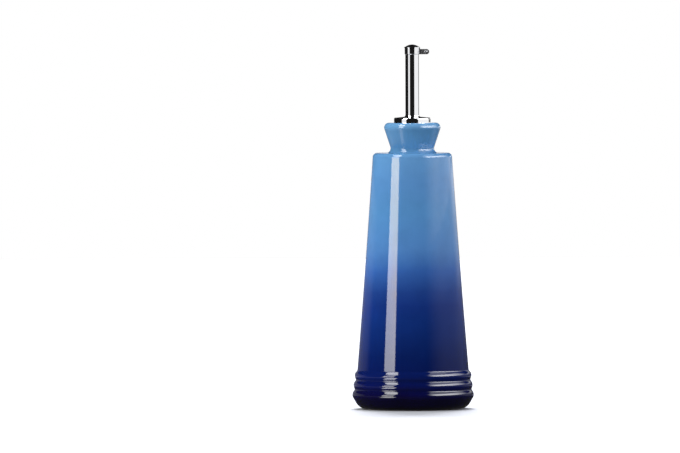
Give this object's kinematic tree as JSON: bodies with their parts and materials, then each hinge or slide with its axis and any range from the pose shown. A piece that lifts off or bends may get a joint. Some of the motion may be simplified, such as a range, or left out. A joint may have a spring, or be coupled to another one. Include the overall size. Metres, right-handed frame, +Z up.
{
  "type": "oil and vinegar cruet",
  "caption": "Tall flared stoneware bottle with rings round its base and a lift-out steel pourer, closed by a small hinged dome lid.",
  "frame": {"origin": "centre of the foot, on the table", "axes": "+Z up along the bottle's axis; +X towards the lid's hinge, so it pours towards -X; +Y away from the viewer of the front"},
  "size_m": [0.0802, 0.0802, 0.2405],
  "materials": {
    "glaze": "glossy glaze, sky blue at the neck deepening to navy at the rings",
    "polished_steel": "polished",
    "satin_steel": "satin",
    "silicone": "matte"
  },
  "bodies": {
    "bottle": {"bottle": "glaze"},
    "pourer": {"stopper_cap": "polished_steel", "stopper_sleeve": "silicone", "spout_tube": "polished_steel", "vent_tube": "polished_steel", "hinge_collar": "satin_steel", "hinge_pin": "satin_steel"},
    "lid": {"lid": "polished_steel"}
  },
  "joints": [
    {"name": "pourer_pull", "type": "slide", "parent": "bottle", "child": "pourer", "axis": [0, 0, 1], "range_m": [0, 0.08]},
    {"name": "lid_flip", "type": "hinge", "parent": "pourer", "child": "lid", "pos_m": [0.0091, 0, 0.2358], "axis": [0, 1, 0], "range_deg": [0, 110]}
  ]
}
